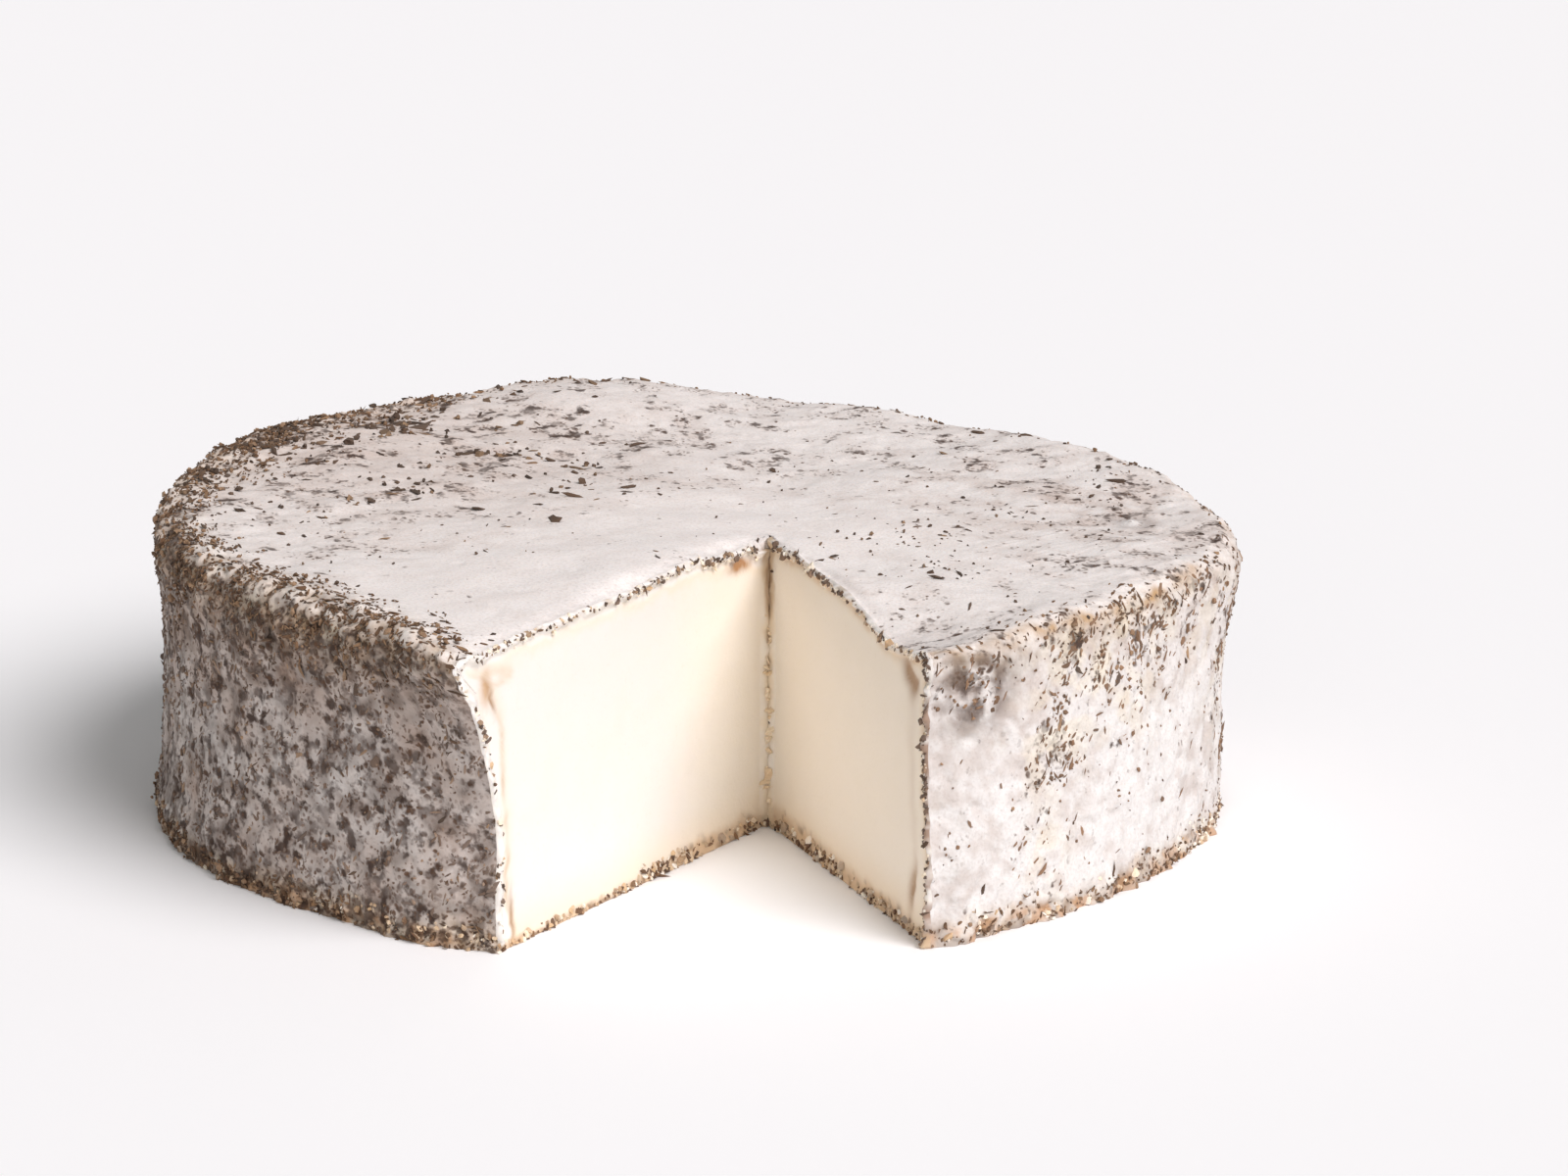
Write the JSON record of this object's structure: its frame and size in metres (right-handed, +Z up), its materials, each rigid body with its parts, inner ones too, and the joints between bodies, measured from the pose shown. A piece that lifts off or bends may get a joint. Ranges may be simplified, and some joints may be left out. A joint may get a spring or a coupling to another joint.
{
  "type": "goat cheese wheel",
  "caption": "Low round wheel of soft white goat's cheese with a mould and herb rind, missing one wedge whose cut faces show the smooth cream paste.",
  "frame": {"origin": "centre of the footprint's box on the surface that the wheel stands on", "axes": "+Z up, through the wheel's height; the missing wedge opens towards -Y"},
  "size_m": [0.1993, 0.2016, 0.0594],
  "materials": {
    "rind": "velvety white and grey mould",
    "paste": "smooth moist cream paste",
    "herbs": "dry crumbled herbs"
  },
  "bodies": {
    "root": {"cheese_wheel": "rind"}
  },
  "joints": []
}
